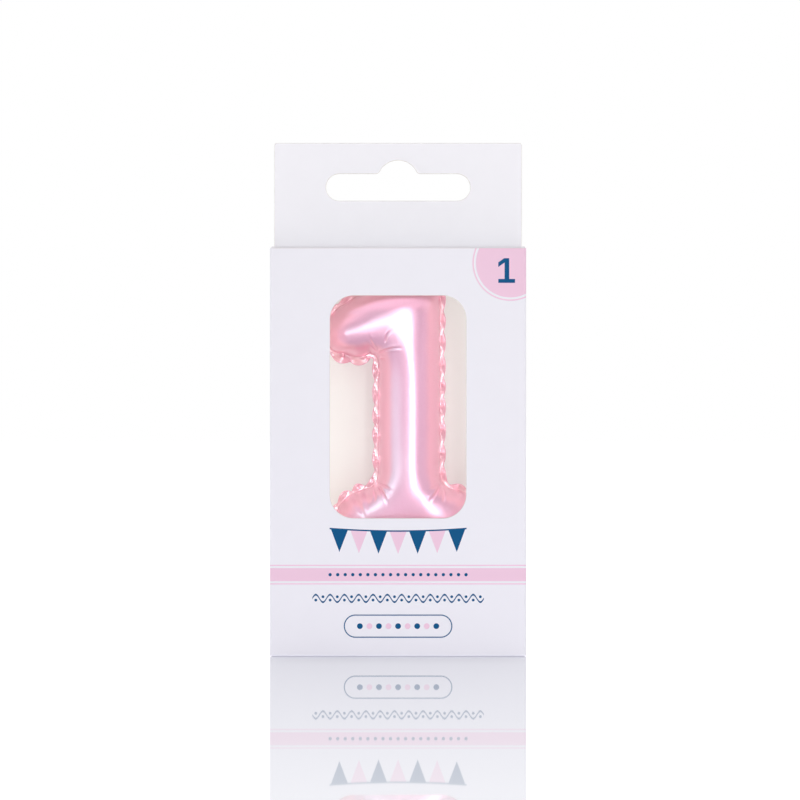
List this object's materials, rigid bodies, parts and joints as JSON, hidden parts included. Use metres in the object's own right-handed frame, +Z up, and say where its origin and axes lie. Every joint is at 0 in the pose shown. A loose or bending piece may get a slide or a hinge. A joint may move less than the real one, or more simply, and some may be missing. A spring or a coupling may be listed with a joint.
{
  "type": "boxed number birthday candle",
  "caption": "Foil-balloon style numeral candle on a pick, standing in a windowed hang-tab carton whose top and bottom flaps open.",
  "frame": {"origin": "centre of the carton's footprint, on the face it stands on", "axes": "+Z up through the hang tab; the window faces -Y; +X is to the right of someone who looks at the window"},
  "size_m": [0.055, 0.02, 0.1119],
  "materials": {
    "carton_board": "white clay-coated folding boxboard, satin",
    "window_film": "clear glossy film",
    "insert_board": "uncoated cream boxboard, matt",
    "pearl_wax": "wax with a metallic pearl-pink coat",
    "wick_cotton": "braided white cotton, waxed",
    "pick_plastic": "moulded white plastic, satin"
  },
  "bodies": {
    "carton": {"front_panel": "carton_board", "back_panel": "carton_board", "left_side_panel": "carton_board", "right_side_panel": "carton_board", "glue_flap": "carton_board", "window_film": "window_film", "candle_insert": "insert_board"},
    "lid": {"lid_panel": "carton_board"},
    "lid_tuck": {"lid_tuck_flap": "carton_board"},
    "hang_tab": {"hang_tab_rear_ply": "carton_board", "hang_tab_front_ply": "carton_board"},
    "top_dust_left": {"top_dust_flap_left": "carton_board"},
    "top_dust_right": {"top_dust_flap_right": "carton_board"},
    "bottom": {"bottom_panel": "carton_board"},
    "bottom_tuck": {"bottom_tuck_flap": "carton_board"},
    "bottom_dust_left": {"bottom_dust_flap_left": "carton_board"},
    "bottom_dust_right": {"bottom_dust_flap_right": "carton_board"},
    "candle": {"candle_body": "pearl_wax", "wick": "wick_cotton", "candle_pick": "pick_plastic"}
  },
  "joints": [
    {"name": "lid_open", "type": "hinge", "parent": "carton", "child": "lid", "pos_m": [0, 0.0089, 0.088], "axis": [-1, 0, 0], "range_deg": [0, 165]},
    {"name": "lid_tuck_unfold", "type": "hinge", "parent": "lid", "child": "lid_tuck", "pos_m": [0, -0.00875, 0.08755], "axis": [-1, 0, 0], "range_deg": [0, 34]},
    {"name": "hang_tab_bend", "type": "hinge", "parent": "carton", "child": "hang_tab", "pos_m": [0, 0.01, 0.08695], "axis": [-1, 0, 0], "range_deg": [0, 100]},
    {"name": "top_dust_left_rise", "type": "hinge", "parent": "carton", "child": "top_dust_left", "pos_m": [-0.02705, 0, 0.0869], "axis": [0, -1, 0], "range_deg": [0, 83]},
    {"name": "top_dust_right_rise", "type": "hinge", "parent": "carton", "child": "top_dust_right", "pos_m": [0.02705, 0, 0.0869], "axis": [0, 1, 0], "range_deg": [0, 83]},
    {"name": "bottom_open", "type": "hinge", "parent": "carton", "child": "bottom", "pos_m": [0, -0.00955, 0], "axis": [-1, 0, 0], "range_deg": [0, 165]},
    {"name": "bottom_tuck_unfold", "type": "hinge", "parent": "bottom", "child": "bottom_tuck", "pos_m": [0, 0.00875, 0.00045], "axis": [-1, 0, 0], "range_deg": [0, 34]},
    {"name": "bottom_dust_left_drop", "type": "hinge", "parent": "carton", "child": "bottom_dust_left", "pos_m": [-0.02705, 0, 0.0011], "axis": [0, 1, 0], "range_deg": [0, 83]},
    {"name": "bottom_dust_right_drop", "type": "hinge", "parent": "carton", "child": "bottom_dust_right", "pos_m": [0.02705, 0, 0.0011], "axis": [0, -1, 0], "range_deg": [0, 83]},
    {"name": "candle_lift", "type": "slide", "parent": "carton", "child": "candle", "axis": [0, 0, 1], "range_m": [0, 0.037]}
  ],
  "couplings": [
    {"joint": "lid_open", "follows": "candle_lift", "rad_per_m": 77.5},
    {"joint": "lid_tuck_unfold", "follows": "candle_lift", "rad_per_m": 15.5},
    {"joint": "hang_tab_bend", "follows": "candle_lift", "rad_per_m": 46.5},
    {"joint": "top_dust_left_rise", "follows": "candle_lift", "rad_per_m": 38.75},
    {"joint": "top_dust_right_rise", "follows": "candle_lift", "rad_per_m": 38.75},
    {"joint": "bottom_tuck_unfold", "follows": "bottom_open", "ratio": 0.2},
    {"joint": "bottom_dust_left_drop", "follows": "bottom_open", "ratio": 0.5},
    {"joint": "bottom_dust_right_drop", "follows": "bottom_open", "ratio": 0.5}
  ]
}
